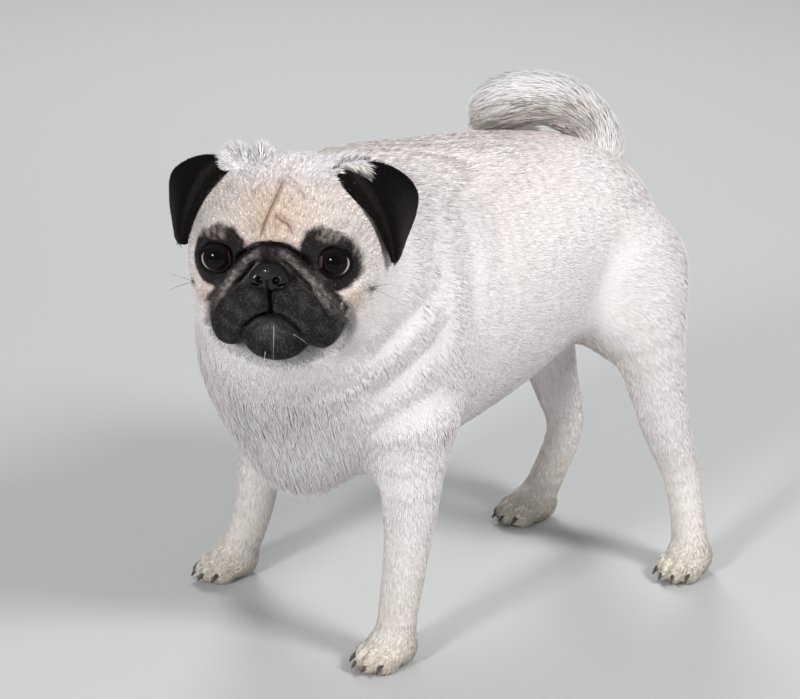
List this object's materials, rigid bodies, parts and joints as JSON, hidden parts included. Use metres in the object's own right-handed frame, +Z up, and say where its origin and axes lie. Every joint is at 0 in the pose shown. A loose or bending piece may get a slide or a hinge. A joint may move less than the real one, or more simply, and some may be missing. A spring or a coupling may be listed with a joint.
{
  "type": "pug dog model",
  "caption": "Life-size still model of a standing pug, head turned to its left, with folded ears, short dark muzzle, curled tail and four flat-soled paws.",
  "frame": {"origin": "on the floor, under the middle of the whole model's box, close to the middle of the trunk", "axes": "+Z up from the floor, -Y the way the body faces, +X to the animal's left"},
  "size_m": [0.2154, 0.3788, 0.3362],
  "materials": {
    "coat": "short cream fur",
    "mask": "short black fur",
    "ear": "black velvet fur",
    "nose": "moist black leather",
    "eye": "wet dark brown",
    "claw": "dark horn",
    "whisker": "stiff dark hair"
  },
  "bodies": {
    "root": {"torso": "coat", "neck": "coat", "head": "coat", "lower_jaw": "mask", "nose": "nose", "ear_left": "ear", "ear_right": "ear", "eye_left": "eye", "eye_right": "eye", "tail_base": "coat", "tail_middle": "coat", "tail_tip": "coat", "foreleg_left": "coat", "foreleg_right": "coat", "hindleg_left": "coat", "hindleg_right": "coat", "forepaw_left": "coat", "forepaw_right": "coat", "hindpaw_left": "coat", "hindpaw_right": "coat", "claw_forepaw_left_1": "claw", "claw_forepaw_left_2": "claw", "claw_forepaw_left_3": "claw", "claw_forepaw_left_4": "claw", "claw_forepaw_right_1": "claw", "claw_forepaw_right_2": "claw", "claw_forepaw_right_3": "claw", "claw_forepaw_right_4": "claw", "claw_hindpaw_left_1": "claw", "claw_hindpaw_left_2": "claw", "claw_hindpaw_left_3": "claw", "claw_hindpaw_left_4": "claw", "claw_hindpaw_right_1": "claw", "claw_hindpaw_right_2": "claw", "claw_hindpaw_right_3": "claw", "claw_hindpaw_right_4": "claw"}
  },
  "joints": []
}
